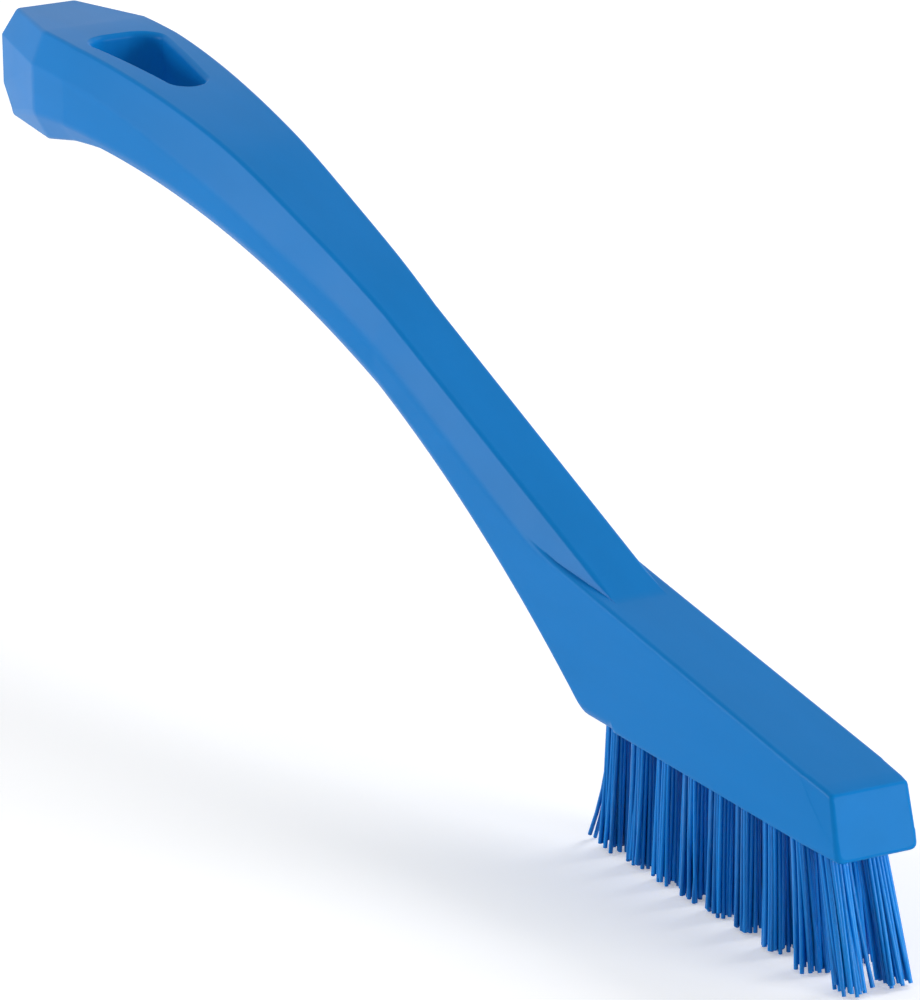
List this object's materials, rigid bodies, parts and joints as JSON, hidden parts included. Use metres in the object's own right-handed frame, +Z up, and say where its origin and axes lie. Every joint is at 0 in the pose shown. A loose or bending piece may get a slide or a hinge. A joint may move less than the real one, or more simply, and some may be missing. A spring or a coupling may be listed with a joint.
{
  "type": "detailing brush",
  "caption": "Slim hand brush with an arched faceted handle, a hanging hole in the grip and rows of stiff trimmed tufts under a wedge-shaped head.",
  "frame": {"origin": "middle of the brush's overall box in plan, at the height of the trimmed bristle tips", "axes": "+X along the brush from the hanging end of the grip to the tip of the head, +Y across the brush, +Z up, away from the bristle tips"},
  "size_m": [0.2064, 0.0176, 0.0662],
  "materials": {
    "body_plastic": "satin injection-moulded polypropylene, mid blue",
    "bristle": "extruded polyester filament, mid blue, trimmed ends",
    "anchor_wire": "bright stainless flat wire"
  },
  "bodies": {
    "root": {"moulded_body": "body_plastic", "tuft_left_1": "bristle", "tuft_left_2": "bristle", "tuft_left_3": "bristle", "tuft_left_4": "bristle", "tuft_left_5": "bristle", "tuft_left_6": "bristle", "tuft_left_7": "bristle", "tuft_left_8": "bristle", "tuft_left_9": "bristle", "tuft_right_1": "bristle", "tuft_right_2": "bristle", "tuft_right_3": "bristle", "tuft_right_4": "bristle", "tuft_right_5": "bristle", "tuft_right_6": "bristle", "tuft_right_7": "bristle", "tuft_right_8": "bristle", "tuft_right_9": "bristle", "anchor_left_1": "anchor_wire", "anchor_left_2": "anchor_wire", "anchor_left_3": "anchor_wire", "anchor_left_4": "anchor_wire", "anchor_left_5": "anchor_wire", "anchor_left_6": "anchor_wire", "anchor_left_7": "anchor_wire", "anchor_left_8": "anchor_wire", "anchor_left_9": "anchor_wire", "anchor_right_1": "anchor_wire", "anchor_right_2": "anchor_wire", "anchor_right_3": "anchor_wire", "anchor_right_4": "anchor_wire", "anchor_right_5": "anchor_wire", "anchor_right_6": "anchor_wire", "anchor_right_7": "anchor_wire", "anchor_right_8": "anchor_wire", "anchor_right_9": "anchor_wire"}
  },
  "joints": []
}
